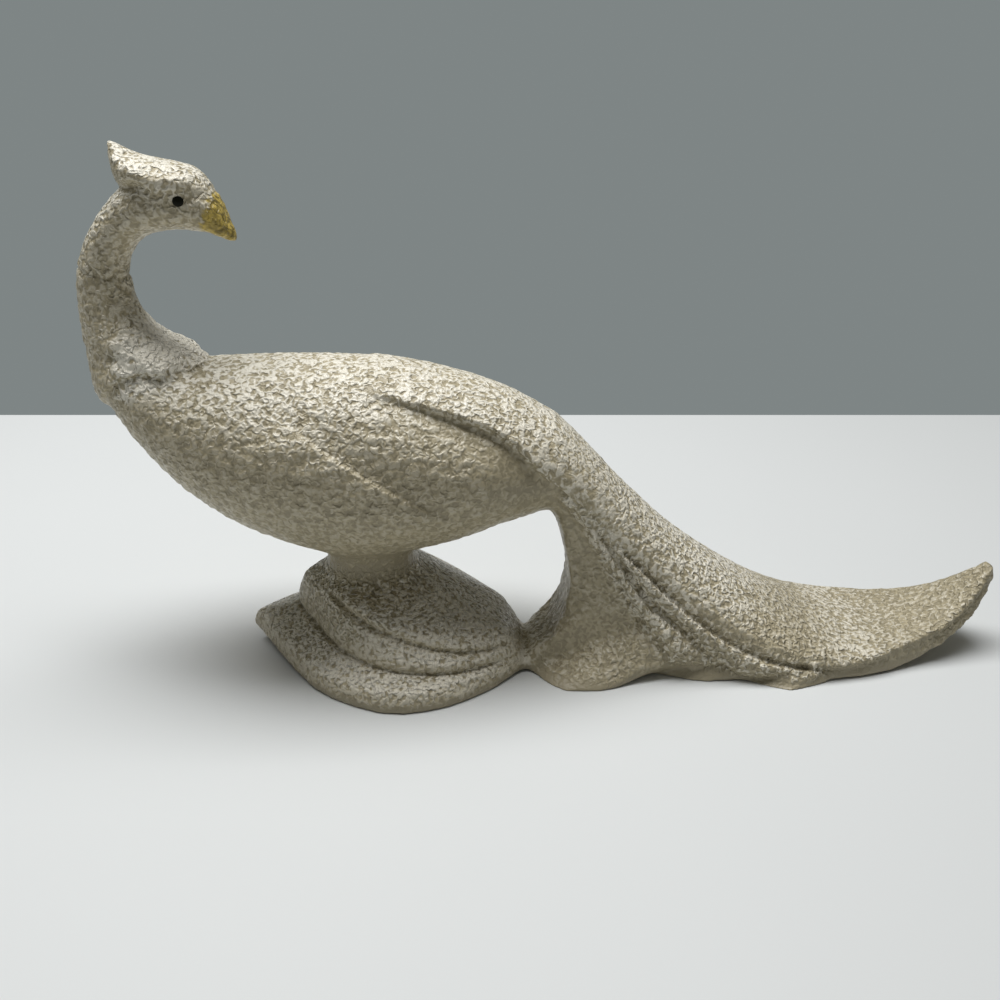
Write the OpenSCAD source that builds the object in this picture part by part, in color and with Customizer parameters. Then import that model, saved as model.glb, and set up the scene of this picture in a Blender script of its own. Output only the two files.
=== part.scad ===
// Peacock figurine, slip-cast in sections that are luted together with slip.
// +X points to the tail, +Z is up, and -Y is the bird's left side.
// The origin is on the table, under the middle of the overall box.

/* [Casting] */
// Thickness of the cast walls
wall = 5; // [3:0.5:6]
// Slip-filled gap between two sections where they are luted
slip_gap = 0.2; // [0.1:0.05:0.3]
// Diameter of the vent bored through the stem into the hollow body
vent_d = 10; // [6:1:14]

/* [Body] */
// Distance from the rump seam to the front of the breast
body_l = 165; // [155:1:175]
// Full width of the body at its middle
body_w = 76; // [68:1:84]
// Full width of the body at the rump seam
rump_w = 44; // [38:1:48]
// Height of the back above the table
back_z = 121; // [116:1:126]
// Height of the belly above the table
belly_z = 43; // [41:0.5:46]
// Place of the rump seam along the figure
rump_x = -5; // [-8:0.5:0]
// How far the breast feathers stand proud of the wing
fold_h = 1.8; // [0.5:0.1:3]

/* [Neck and head] */
// Diameter of the neck at its seam
neck_d = 18.6; // [17:0.2:23]
// Height of the neck seam above the back
neck_rise = 28; // [24:1:32]
// How far the hackle stands proud of the breast
hackle_lip = 2; // [0.5:0.25:3]
// Full width of the head
head_w = 25.6; // [22:0.2:29]
// Height of the crown above the neck seam
head_h = 38; // [35:0.5:41]
// Height of the crest's tip above the crown
crest_h = 10; // [7:0.5:15]
// Thickness of the crest over the crown
crest_t = 1.8; // [0.8:0.1:3]
// Diameter of an eye
eye_d = 3.8; // [3:0.2:6]
// How far an eye's enamel drop stands out
eye_rise = 0.8; // [0.4:0.1:1.5]

/* [Foot] */
// Full width of the lower leaf of the foot
foot_w = 106; // [96:1:116]
// Distance from the foot's tip to its seam with the tail
foot_l = 112; // [106:1:118]
// Height of the lower leaf at its edge
foot_edge = 7; // [5:0.5:9]
// How far the lower leaf's tip lifts off the table
tip_lift = 6; // [0:0.5:9]
// Step from one leaf of the foot to the next
leaf_step = 3; // [2:0.2:4.5]
// Height of the foot at the root of the stem
mound_z = 35; // [33:0.5:37]
// Width of the stem at its root
stem_d = 37; // [32:1:42]

/* [Tail] */
// Distance from the rump seam to the tip of the tail
tail_l = 180; // [170:1:190]
// Height of the tail's tip
tail_tip_z = 38; // [32:1:42]
// Full width of the tail's skirt on the table
hem_w = 79; // [72:1:86]
// Full width of the train leaf where it is widest
train_w = 61; // [55:1:66]
// Thickness of the train leaf
train_t = 3; // [2:0.25:4]
// Depth of the folds in the skirt's hem
scallop = 5; // [0:0.5:6]
// Height of the two feather ribs on each side
rib_h = 3.6; // [2:0.2:5]

/* [Hidden] */

glaze = [0.80, 0.77, 0.70];
gilt = [0.66, 0.54, 0.22];
enamel = [0.03, 0.03, 0.03];

// Points round a section of the trunk
around = 34;
// Points on a side of the tail's section: over the leaf, down the flank and under the base
top_n = 5;
flank_n = 9;
base_n = 2;

breast_x = rump_x - body_l;
neck_x = breast_x + 4.8;
neck_r = neck_d / 2;
neck_seam_z = back_z + neck_rise;
crown_z = neck_seam_z + head_h;
crest_z = crown_z + crest_h;
mid_z = (back_z + belly_z) / 2;
rump_top = back_z - 25.5;
rump_low = belly_z + 19;
stem_x = rump_x - 71;
seam_x = rump_x - 9;

// Stations of the trunk: inner outline x and z, outer outline x and z, half width.
// The inner outline runs along the back and round the inside of the neck's bend to the chin.
trunk = [
    [rump_x, rump_top, rump_x, rump_low, rump_w / 2],
    [rump_x - 16, back_z - 16.5, rump_x - 16, belly_z + 15, mix(rump_w, body_w, 0.45) / 2],
    [rump_x - 34, back_z - 9, rump_x - 34, belly_z + 8, mix(rump_w, body_w, 0.76) / 2],
    [rump_x - 54, back_z - 3, rump_x - 54, belly_z + 2.5, mix(rump_w, body_w, 0.94) / 2],
    [rump_x - 74, back_z, rump_x - 76, belly_z, body_w / 2],
    [breast_x + 73, back_z + 0.4, breast_x + 68, belly_z + 5, 0.98 * body_w / 2],
    [breast_x + 59, back_z, breast_x + 47, belly_z + 14, 0.92 * body_w / 2],
    [breast_x + 48, back_z - 0.5, breast_x + 29.5, belly_z + 26.5, 0.83 * body_w / 2],
    [breast_x + 41, back_z - 1, breast_x + 14.5, belly_z + 42, 0.71 * body_w / 2],
    [breast_x + 36.5, back_z - 1.5, breast_x + 2, belly_z + 60.5, 0.575 * body_w / 2],
    [neck_x + 26.5, neck_seam_z - 24.5, neck_x - 8.4, neck_seam_z - 33, 0.9 * neck_d],
    [neck_x + 18, neck_seam_z - 19, neck_x - 9.9, neck_seam_z - 21, 0.72 * neck_d],
    [neck_x + neck_r + 2.4, neck_seam_z - 11, neck_x - neck_r - 0.7, neck_seam_z - 8.5, 0.59 * neck_d],
    [neck_x + neck_r, neck_seam_z, neck_x - neck_r + 0.7, neck_seam_z + 3.5, 0.53 * neck_d],
    [neck_x + neck_r + 1, neck_seam_z + 8, neck_x - neck_r + 3.4, neck_seam_z + 10.5, 0.52 * neck_d],
    [neck_x + 14.6, neck_seam_z + 13.8, neck_x - 1.6, neck_seam_z + 18.5, 0.53 * neck_d],
    [neck_x + 19.7, neck_seam_z + 16.8, neck_x + 5.5, crown_z - 11, 0.43 * head_w],
    [neck_x + 25.2, neck_seam_z + 17.8, neck_x + 14.5, crown_z - 3.5, 0.48 * head_w],
    [neck_x + 30.7, neck_seam_z + 18, neck_x + 26.2, crown_z, head_w / 2],
    [neck_x + 35.7, neck_seam_z + 17.6, neck_x + 36, crown_z - 1.6, 0.46 * head_w],
    [neck_x + 39.2, neck_seam_z + 17.2, neck_x + 43.8, crown_z - 8.6, 0.36 * head_w],
    [neck_x + 43.7, neck_seam_z + 15.3, neck_x + 46.3, crown_z - 15, 0.235 * head_w],
    [neck_x + 47.2, neck_seam_z + 14, neck_x + 48.8, crown_z - 21, 0.1 * head_w],
];
t_rump = 0;
t_hackle = 9;
// Rise of the hackle's edge on the flanks, counted in stations
hackle_bow = 0.85;
t_neck = 13;
t_beak = 20;
t_tip = 22;

// Guide lines of the tail at shared stations, x counted from the rump seam, for a tail of this length
drawn_l = 179;
drawn_hem = 39.5;
drawn_edge = 30.5;
drawn_tip = 36;
drawn_rump = 95.5;
drawn_low = 62;
open_x = seam_x - rump_x + slip_gap;
ridge_line = [
    [0, drawn_rump], [11, 84.5], [22, 72.5], [32, 62], [42, 52.5], [51, 45], [62, 37], [75, 28],
    [90, 19], [107, 11], [124, 7.2], [142, 8.6], [157, 14.5], [170, 24.5], [178, 33],
];
edge_line = [
    [0, 22, 79], [9, 20.5, 71.5], [19, 19.5, 60], [29, 20, 50], [39, 21, 40], [48, 22.5, 31.5],
    [59, 25, 22.5], [73, 28, 14], [88, 30, 8.5], [106, 30.5, 5.5], [124, 27.5, 6], [142, 21.5, 8.8],
    [157, 15, 13.5], [170, 8, 22.5], [178.2, 1.8, 32.5],
];
hem_line = [
    [0, 15.5, 67], [5.5, 16, 50], [8, 17, 33], [2, 20, 14], [open_x, 25, 7.5], [open_x, 25, 0],
    [16, 39.5, 0], [38, 26, 0], [63, 29, 0], [90, 39.5, 0], [117, 31, 0], [140, 24, 1],
    [158, 17, 8], [171.5, 9.5, 17.5], [179, 2.2, 28],
];
keel_line = [
    [0, drawn_low], [5.5, 46], [7, 29], [1, 13], [open_x, 8], [open_x, 0], [16, 0],
    [36, 0], [61, 0], [89, 0], [117, 0], [140, 1], [158, 8], [171.5, 17.5], [179.2, 28],
];
// Share of the skirt's half width on the right, which is drawn in at the narrow seam with the foot
right_share = [1, 0.95, 0.65, 0.3, 0.2, 0.2, 0.95, 1, 1, 1, 1, 1, 1, 1, 1];
k_flat = 10;
// How far the hem's folds reach out, in scallop depths, at every half station
hem_fold = [
    0, 0, 0, 0, 0, 0, 0, 0, 0, 0, 0.1, 0.95, 0, 0.6, 0.2, 1, 0.85, -0.6, -0.1, -0.4,
    0.15, 0.3, 0, 0, 0, 0, 0, 0, 0,
];
k_end = len(ridge_line) - 1;
// Last station of the tail's hollow
k_hollow = 8.6;

function mix(a, b, s) = a + (b - a) * s;
function ease(s) = let(c = min(max(s, 0), 1)) c * c * (3 - 2 * c);
function catmull(a, b, c, d, f) =
    b + 0.5 * f * ((c - a) + f * ((2 * a - 5 * b + 4 * c - d) + f * (3 * (b - c) + d - a)));
// Smooth curve through a list of numbers or vectors, at place t counted in list steps
function along(list, t) =
    let(n = len(list) - 1, i = min(max(floor(t), 0), n - 1))
    catmull(list[max(i - 1, 0)], list[i], list[i + 1], list[min(i + 2, n)], t - i);
function steps(first, last, n) = [for (i = [0:n]) mix(first, last, i / n)];
function reversed(list) = [for (i = [len(list) - 1:-1:0]) list[i]];
function middle(list) = [for (p = list) 1] * list / len(list);
function unit(v) = v / norm(v);
// Angle of point i of a section, with the top at 90 degrees
function ring_angle(i) = 360 * i / around;

// Breast feathers: a step along a slanted line on each flank, fading along and away from the line
fold_from = [rump_x - 100, mid_z + 26];
fold_to = [rump_x - 53, mid_z - 6];
function fold(x, z) =
    let(
        d = fold_to - fold_from,
        l = norm(d),
        q = [x, z] - fold_from,
        run = q * d / l / l,
        off = (q.x * d.y - q.y * d.x) / l,
        fade = ease(3 * run + 0.4) * ease(3 * (1.25 - run)),
        proud = ease(off / 5) * ease(1 - off / 45),
        sunk = 0.4 * ease(-off / 6) * ease(1 + off / 30)
    )
    fold_h * fade * (proud - sunk);

function trunk_point(t, a, out = 0) =
    let(
        r = along(trunk, t),
        c = [r[0] + r[2], r[1] + r[3]] / 2,
        u = [r[0] - r[2], r[1] - r[3]] / 2,
        p = c + u * sin(a),
        feathers = out < 0 ? 0 : fold(p.x, p.y) * ease(3 * abs(cos(a))),
        q = c + u * sin(a) * (1 + (out + feathers) / norm(u))
    )
    [q.x, (r[4] + out + feathers) * cos(a), q.y];
// Sections near the hackle are bowed with its edge
function bowed(t, a) = t + hackle_bow * cos(a) * cos(a) * ease(1 - abs(t - t_hackle) / 2);
function trunk_ring(t, out = 0) =
    [for (i = [0:around - 1]) let(a = ring_angle(i)) trunk_point(bowed(t, a), a, out)];

// Guide points of the tail at station k
function tail_x(d) = rump_x + d * (d > 0 ? tail_l / drawn_l : 1);
function height_scale(k) =
    mix(rump_top / drawn_rump, 1, ease(k / 6)) * mix(1, tail_tip_z / drawn_tip, ease((k - k_flat) / 3));
function tail_guides(k, side) =
    let(
        r = along(ridge_line, k),
        e = along(edge_line, k),
        h = along(hem_line, k),
        v = along(keel_line, k),
        s = height_scale(k),
        spread = hem_w / 2 / drawn_hem * (side > 0 ? along(right_share, k) : 1),
        swell = scallop * along(hem_fold, 2 * k),
        front = seam_x + slip_gap,
        ridge = [tail_x(r.x), r.y * s],
        keel = [max(tail_x(v.x), front), max(v.y, 0) * s],
        hem_x = max(tail_x(h.x), front)
    )
    [
        ridge,
        [tail_x(e.x), e.y * train_w / 2 / drawn_edge, e.z * s],
        [hem_x, h.y * spread + swell, max(h.z, 0) * s],
        keel,
    ];

// Section of the tail: u is 0 at the ridge, 1 at the leaf's edge, 2 at the hem and 3 at the keel
function tail_section(k, u, side) =
    let(
        g = tail_guides(k, side),
        ridge = g[0],
        edge = g[1],
        hem = g[2],
        keel = g[3],
        a = 90 * u,
        w = u - 1,
        lean = [edge.x - ridge.x, 0, edge.z - ridge.y] * 0.7,
        flare = (hem - edge) + [0, max(hem.y - edge.y, 0), 0]
    )
    u <= 1 ? [mix(edge.x, ridge.x, cos(a)), edge.y * sin(a), mix(edge.z, ridge.y, cos(a))]
    : u <= 2 ? let(b = w * w * (3 - 2 * w), c = w * (1 - w) * (1 - w), d = w * w * (w - 1))
        edge + (hem - edge) * b + lean * c + flare * d
    : let(s = u - 2) [mix(hem.x, keel.x, s), hem.y * (1 - s), mix(hem.z, keel.y, s)];

// Point of the tail's skin at place u on one side, blended into the rump ring near the seam
blend_k = 0.8;
// Angles from the ridge, at the rump seam, of the leaf's edge and of the hem
rump_leaf_angle = 87;
rump_hem_angle = 140;
function section_angle(u) =
    90 - (u <= 1 ? rump_leaf_angle * u
        : u <= 2 ? mix(rump_leaf_angle, rump_hem_angle, u - 1)
        : mix(rump_hem_angle, 180, u - 2));
function tail_point(k, u, side) =
    let(
        p = tail_section(k, u, side),
        q = trunk_point(t_rump, section_angle(u)),
        m = ease(k / blend_k)
    )
    [mix(q.x + k * 4, p.x, m), side * mix(q.y, p.y, m), mix(q.z, p.z, m)];
tail_places = concat(
    steps(0, 1, top_n),
    [for (j = [1:flank_n]) 2 - pow(1 - j / flank_n, 1.3)],
    [for (j = [1:base_n]) 2 + j / base_n]
);
function tail_ring(k) = concat(
    [for (u = tail_places) tail_point(k, u, -1)],
    [for (j = [len(tail_places) - 2:-1:1]) tail_point(k, tail_places[j], 1)]
);
// Section of the hollow, drawn in toward the middle by a wall at the leaf's edge, and set back by most
// of a wall near the station where the skirt's front slopes down to the foot
k_slope = 3.4;
function tail_hollow(k) =
    let(
        ring = tail_ring(k),
        centre = middle(ring),
        share = wall / tail_guides(k, 1)[1].y,
        back = 0.8 * wall * ease(1 - abs(k - k_slope) / 2)
    )
    [for (p = ring) mix(p, centre, share) + [back, 0, 0]];

// Layers that lie on the body and the tail stand off along the surface normal
function normal(p, q, r, s, away) = let(n = unit(cross(p - q, r - s))) n * away < 0 ? -n : n;
function on_tail(k, u, side, out) =
    let(
        e = 0.04,
        v = max(abs(u), e),
        p = tail_point(k, abs(u), side),
        g = tail_guides(k, side),
        core = mix([g[0].x, 0, g[0].y], [g[3].x, 0, g[3].y], 0.6)
    )
    p + out * normal(
        tail_point(k, v + e, side), tail_point(k, v - e, side),
        tail_point(min(k + e, k_end), v, side), tail_point(max(k - e, 0), v, side),
        p - core
    );
function on_trunk(t, a, out) =
    let(e = 0.05, d = 2, r = along(trunk, t), p = trunk_point(t, a))
    p + out * normal(
        trunk_point(t, a + d), trunk_point(t, a - d),
        trunk_point(t + e, a), trunk_point(t - e, a),
        p - [(r[0] + r[2]) / 2, 0, (r[1] + r[3]) / 2]
    );

// Solid through rings of equal count, closed at each end by a fan to a pole
module capped_loft(rings, first_pole, last_pole) {
    n = len(rings[0]);
    m = len(rings);
    polyhedron(
        points = concat([for (r = rings) each r], [first_pole, last_pole]),
        faces = concat(
            [for (i = [0:m - 2], j = [0:n - 1]) let(k = (j + 1) % n) each [
                [i * n + j, i * n + k, (i + 1) * n + k],
                [i * n + j, (i + 1) * n + k, (i + 1) * n + j],
            ]],
            [for (j = [0:n - 1]) [m * n, (j + 1) % n, j]],
            [for (j = [0:n - 1]) [m * n + 1, (m - 1) * n + j, (m - 1) * n + (j + 1) % n]]
        )
    );
}

// Solid through rings of equal count, from the last back to the first
module ring_loft(rings) {
    n = len(rings[0]);
    m = len(rings);
    polyhedron(
        points = [for (r = rings) each r],
        faces = [for (i = [0:m - 1], j = [0:n - 1]) let(k = (j + 1) % n, i2 = (i + 1) % m) each [
            [i * n + j, i * n + k, i2 * n + k],
            [i * n + j, i2 * n + k, i2 * n + j],
        ]]
    );
}

// Thin solid through rings that run along its lower side and back along its upper side
module strip_loft(rings) {
    n = len(rings[0]);
    m = len(rings);
    polyhedron(
        points = [for (r = rings) each r],
        faces = concat(
            [for (i = [0:m - 2], j = [0:n - 1]) let(k = (j + 1) % n) each [
                [i * n + j, i * n + k, (i + 1) * n + k],
                [i * n + j, (i + 1) * n + k, (i + 1) * n + j],
            ]],
            [for (j = [0:n / 2 - 2]) each [
                [j + 1, j, n - 1 - j],
                [j + 1, n - 1 - j, n - 2 - j],
            ]],
            [for (j = [0:n / 2 - 2]) let(o = (m - 1) * n) each [
                [o + j, o + j + 1, o + n - 2 - j],
                [o + j, o + n - 2 - j, o + n - 1 - j],
            ]]
        )
    );
}

module vent_bore() {
    translate([stem_x, 0, 0]) cylinder(d = vent_d, h = mid_z, $fn = 48);
}

// Hollow body, open at the rump and at the hackle, with the vent through its belly
module body_shell() {
    color(glaze) difference() {
        ring_loft(concat(
            [for (t = steps(t_rump, t_hackle, 24)) trunk_ring(t)],
            [for (t = steps(t_hackle, t_rump, 6)) trunk_ring(t, -wall)]
        ));
        vent_bore();
    }
}

// Neck with the hackle's raised edge, which lies over the breast and thins out up the neck
function hackle(t) = hackle_lip * (1 - ease((t - t_hackle) / 1.6));
module neck_shell() {
    first = t_hackle + 0.02;
    color(glaze) ring_loft(concat(
        [for (t = steps(first, t_neck, 12)) trunk_ring(t, hackle(t))],
        [for (t = steps(t_neck, first, 3)) trunk_ring(t, -wall)]
    ));
}

// Upper neck and head, hollow up to the cheeks
head_rows = 14;
head_places = steps(t_neck + 0.02, t_beak, head_rows);
module head_shell() {
    inner_rows = 4;
    outer = [for (t = head_places) trunk_ring(t)];
    inner = [for (t = steps(head_places[0], t_beak - 2, inner_rows)) trunk_ring(t, -wall)];
    color(glaze) capped_loft(
        concat(reversed(inner), outer),
        middle(inner[inner_rows]),
        middle(outer[head_rows])
    );
}

module beak() {
    rows = 5;
    rings = [for (t = steps(t_beak + 0.03, t_tip, rows)) trunk_ring(t)];
    tip = middle(rings[rows]) + [1, 0, -1.6];
    color(gilt) capped_loft(rings, middle(rings[0]), tip);
}

// Stations of the crest from brow to tip: top x and z, lower edge x and z, half width
crest_line = [
    [neck_x + 42.6, crown_z - 7, neck_x + 41, crown_z - 10, 0.2 * head_w],
    [neck_x + 39.4, crown_z - 3.8 + crest_t, neck_x + 37, crown_z - 7.5, 0.42 * head_w],
    [neck_x + 35, crown_z - 0.8 + crest_t, neck_x + 32, crown_z - 6.5, 0.53 * head_w],
    [neck_x + 28.5, crown_z + 0.8 + crest_t, neck_x + 26, crown_z - 5.5, 0.56 * head_w],
    [neck_x + 21.5, crown_z + 2.2 + crest_t, neck_x + 20, crown_z - 5.5, 0.53 * head_w],
    [neck_x + 15.8, crown_z + 4 + crest_t, neck_x + 15, crown_z - 6, 0.44 * head_w],
    [neck_x + 11.6, mix(crown_z + 6, crest_z, 0.6), neck_x + 12, crown_z - 6, 0.29 * head_w],
    [neck_x + 9, crest_z - 0.6, neck_x + 10.5, crown_z - 5, 0.13 * head_w],
];
module crest() {
    n = 24;
    rows = 14;
    rings = [for (t = steps(0, len(crest_line) - 1, rows))
        let(
            r = along(crest_line, t),
            c = [r[0] + r[2], r[1] + r[3]] / 2,
            u = [r[0] - r[2], r[1] - r[3]] / 2
        )
        [for (j = [0:n - 1]) let(a = 360 * j / n, p = c + u * sin(a)) [p.x, r[4] * cos(a), p.y]]];
    head = [for (i = [3:head_rows + 1]) trunk_ring(i > head_rows ? t_beak + 1 : head_places[i], slip_gap)];
    color(glaze) difference() {
        capped_loft(rings, middle(rings[0]), middle(rings[rows]) + [-0.5, 0, 0.4]);
        capped_loft(head, middle(head[0]), middle(head[len(head) - 1]));
    }
}

// Drop of black enamel on the side of the head
eye_t = 18.7;
eye_angle = -8;
module eye(side) {
    n = 16;
    r = eye_d / 2;
    a0 = side > 0 ? eye_angle : 180 - eye_angle;
    per_t = norm(trunk_point(eye_t + 0.1, a0) - trunk_point(eye_t - 0.1, a0)) / 0.2;
    per_a = norm(trunk_point(eye_t, a0 + 2) - trunk_point(eye_t, a0 - 2)) / 4;
    disc = function(r, rise) [for (j = [0:n - 1]) let(p = 360 * j / n)
        on_trunk(eye_t + r * cos(p) / per_t, a0 - r * sin(p) / per_a, slip_gap + rise * eye_rise)];
    color(enamel) capped_loft(
        [disc(0.5 * r, 0), disc(r, 0), disc(r, 0.3), disc(0.85 * r, 0.7), disc(0.5 * r, 0.93)],
        on_trunk(eye_t, a0, slip_gap),
        on_trunk(eye_t, a0, slip_gap + eye_rise)
    );
}

// Stem between the foot and the belly, with its top shaped to the belly and a slight waist
stem_n = 28;
waist = 0.07;
function belly_ring(k) =
    let(t = 3.775, per_t = 22, r = k * stem_d / 2, lean = asin(r / (body_w / 2)))
    [for (j = [0:stem_n - 1]) let(p = 360 * j / stem_n)
        trunk_point(t - r * cos(p) / per_t, -90 + lean * sin(p), slip_gap)];
function stem_circle(d, z) =
    [for (j = [0:stem_n - 1]) let(p = 360 * j / stem_n) [stem_x + d / 2 * cos(p), d / 2 * sin(p), z]];
module stem() {
    root_z = mound_z + slip_gap;
    top = belly_ring(1);
    root = stem_circle(stem_d, root_z);
    sides = [for (s = [0.25, 0.5, 0.75]) let(k = 1 - waist * sin(180 * s))
        [for (p = mix(top, root, s)) [mix(stem_x, p.x, k), p.y * k, p.z]]];
    color(glaze) difference() {
        capped_loft(
            concat(
                [belly_ring(0.4), belly_ring(0.75), top],
                sides,
                [root, stem_circle(stem_d / 2, root_z)]
            ),
            middle(belly_ring(0.4)),
            [stem_x, 0, root_z]
        );
        vent_bore();
    }
}

// Outlines of the foot in plan, from its tip to the seam, as shares of its length and half width
foot_left = [
    [0, 0], [0.105, -0.3], [0.21, -0.57], [0.33, -0.81], [0.53, -1],
    [0.71, -0.94], [0.85, -0.76], [0.955, -0.56], [1, -0.47],
];
foot_right = [
    [0, 0], [0.105, 0.3], [0.21, 0.57], [0.33, 0.82], [0.49, 1],
    [0.64, 0.91], [0.77, 0.66], [0.89, 0.36], [1, 0.09],
];
foot_n = 20;
// Share of the points on a side that lie along the seam
seam_share = 0.07;
function foot_edge_point(list, s) =
    let(
        n = len(list) - 1,
        open = 1 - seam_share,
        mid = [1, (foot_left[n].y + foot_right[n].y) / 2],
        p = s < open ? along(list, s / open * n) : mix(mid, list[n], (1 - s) / seam_share)
    )
    [seam_x + (p.x - 1) * foot_l, p.y * foot_w / 2];
foot_outline = concat(
    [for (i = [0:foot_n]) foot_edge_point(foot_right, i / foot_n)],
    [for (i = [foot_n - 1:-1:1]) foot_edge_point(foot_left, i / foot_n)]
);
// Rays from the foot's outline, where f is 0, to the root of the stem, where f is 1
function round_stem(i, d) = let(a = 180 * i / foot_n) [stem_x - d / 2 * cos(a), d / 2 * sin(a)];
function ray(i, f, z) = let(p = mix(foot_outline[i], round_stem(i, stem_d), f)) [p.x, p.y, z];
// Place round the foot, from 0 at the tip to 1 at the seam, and nearness to the tip
function turn(i) = (i <= foot_n ? i : 2 * foot_n - i) / foot_n;
function tipness(i) = 1 - ease(3 * turn(i));
// Where the middle and the upper leaf begin on a ray, and how full they are, from the tip to the seam
middle_from = [0.6, 0.58, 0.31, 0.09, 0.07];
upper_from = [0.86, 0.82, 0.53, 0.17, 0.14];
fullness = [5.5, 3.2, 1.7, 1.1, 1];
// Share of a ray over which one leaf rests on the next
lap = 0.13;
// Lap of the upper leaf against that of the middle one
upper_lap = 0.7;
// Share of a ray over which the lower leaf's edge is rounded
rim = 0.05;
// Rise of the lower leaf from its edge toward the stem
lower_rise = 15;
function by_turn(list, i) = along(list, (len(list) - 1) * turn(i));
function dome(z0, z1, g, i) = mix(z0, z1, 1 - pow(1 - min(max(g, 0), 1), by_turn(fullness, i)));
function lower_top(f, i) = foot_edge + tip_lift * tipness(i) + lower_rise * (1 - tipness(i) / 2) * f;
function middle_top(f, i) =
    let(a = by_turn(middle_from, i))
    dome(lower_top(a, i) + leaf_step, mound_z - leaf_step / 2, (f - a) / (1 - a), i);
function upper_top(f, i) =
    let(a = by_turn(upper_from, i))
    dome(min(middle_top(a, i) + leaf_step, mound_z - slip_gap), mound_z, (f - a) / (1 - a), i);

module foot_lower_leaf() {
    color(glaze) ring_loft([for (i = [2 * foot_n - 1:-1:0])
        let(lift = tip_lift * tipness(i), e = by_turn(middle_from, i) + lap, m = 0.65 * e)
        [
            ray(i, 0, lift),
            ray(i, 0, lift + foot_edge / 2),
            ray(i, rim, lower_top(rim, i)),
            for (s = [0.3, 0.6, 1]) ray(i, mix(rim, e, s), lower_top(mix(rim, e, s), i)),
            ray(i, e, lower_top(e, i) - wall),
            ray(i, m, lower_top(m, i) - wall),
            ray(i, 0.4 * e, lift),
        ]]);
}

module foot_middle_leaf() {
    color(glaze) ring_loft([for (i = [2 * foot_n - 1:-1:0])
        let(a = by_turn(middle_from, i), b = a + lap, e = by_turn(upper_from, i) + upper_lap * lap)
        [
            ray(i, a, lower_top(a, i) + slip_gap),
            ray(i, a, mix(lower_top(a, i), middle_top(a, i), 0.7)),
            for (s = [0.08, 0.35, 0.65, 1]) ray(i, mix(a, e, s), middle_top(mix(a, e, s), i)),
            ray(i, e, middle_top(e, i) - wall),
            ray(i, b, lower_top(b, i) + slip_gap),
        ]]);
}

module foot_upper_leaf() {
    color(glaze) ring_loft([for (i = [2 * foot_n - 1:-1:0])
        let(a = by_turn(upper_from, i), b = a + upper_lap * lap, bore = round_stem(i, vent_d))
        [
            ray(i, a, middle_top(a, i) + slip_gap),
            ray(i, a, mix(middle_top(a, i), upper_top(a, i), 0.7)),
            for (s = [0.1, 0.4, 0.7, 1]) ray(i, mix(a, 1, s), upper_top(mix(a, 1, s), i)),
            [bore.x, bore.y, mound_z],
            [bore.x, bore.y, mound_z - wall],
            ray(i, b, middle_top(b, i) + slip_gap),
        ]]);
}

// Hollow tail with its spread skirt, open at the rump
module tail_shell() {
    first = 0.05;
    // Rows are closer together where the skirt is folded and where the hollow bends
    rows = concat(steps(first, 5, 8), steps(5.3, 9.65, 15), steps(10.2, k_end, 7));
    hollow_rows = [first, 1.3, 2.4, 3.05, 3.6, 4.3, 5.2, 6.5, 7.4, k_hollow];
    outer = [for (k = rows) tail_ring(k)];
    inner = [for (k = hollow_rows) tail_hollow(k)];
    color(glaze) capped_loft(
        concat(reversed(outer), inner),
        middle(outer[len(rows) - 1]) + [0.4, 0, 0],
        middle(inner[len(hollow_rows) - 1])
    );
}

// Long leaf of the train, over the back and the tail from mid-back to the tail's tip
leaf_front_t = 3.7;
leaf_half_angle = [rump_leaf_angle, 50.5, 40, 35.5, 30];
function leaf_row(rise, place) =
    let(u = steps(-1, 1, 2 * top_n))
    concat(
        [for (s = u) place(s, slip_gap)],
        [for (s = reversed(u)) place(s, slip_gap + rise * (1 - 0.3 * s * s))]
    );
module train_leaf() {
    on_body = [for (t = steps(leaf_front_t, 0.2, 9))
        leaf_row(mix(0.5, train_t, ease((leaf_front_t - t) / 3)), function(s, out)
            on_trunk(t, 90 - s * along(leaf_half_angle, t), out))];
    over_tail = [for (k = steps(0.12, k_end - 0.1, 27))
        leaf_row(mix(train_t, 1.2, ease((k - k_flat - 1) / 3)), function(s, out)
            on_tail(k, 0.98 * s, s < 0 ? -1 : 1, out))];
    color(glaze) strip_loft(reversed(concat(on_body, over_tail)));
}

// Feather ribs on the flank of the tail: upper and lower edges as stations and places on the section
upper_rib = [
    [[0.95, 1.03], [2.2, 1.03], [3.8, 1.03], [5.3, 1.03], [6.9, 1.03], [8.3, 1.08], [9.1, 1.3]],
    [[1, 1.07], [2.3, 1.14], [3.9, 1.21], [5.5, 1.23], [7, 1.4], [8.4, 1.72], [9.2, 1.78]],
];
lower_rib = [
    [[0.7, 1.09], [1.6, 1.16], [2.8, 1.24], [4.1, 1.27], [5.6, 1.29], [7.2, 1.44]],
    [[0.7, 1.17], [1.5, 1.26], [2.5, 1.31], [3.8, 1.33], [5.4, 1.4], [7.3, 1.72]],
];
// Rounded cross-section of a rib, as shares of its width and height
rib_profile = concat(
    [for (w = steps(0, 1, 3)) [w, 0]],
    [[1, 0.4], [0.72, 1], [0.28, 1], [0, 0.4]]
);
module rib(edges, side) {
    n = 20;
    last = len(edges[0]) - 1;
    rows = [for (i = [0:n])
        let(
            s = 1 - pow(1 - i / n, 1.4),
            top = along(edges[0], s * last),
            low = along(edges[1], s * last),
            swell = mix(0.2, 1, ease(3 * s)) * mix(1, 1.1, ease(2 * s - 1)),
            rise = rib_h * swell * mix(0.4, 1, ease(4 * (1 - s))),
            place = function(w, h) let(p = mix(top, low, w)) on_tail(p.x, p.y, side, slip_gap + h * rise)
        )
        [for (q = rib_profile) place(q.x, q.y)]];
    color(glaze) strip_loft(side < 0 ? rows : reversed(rows));
}

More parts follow.
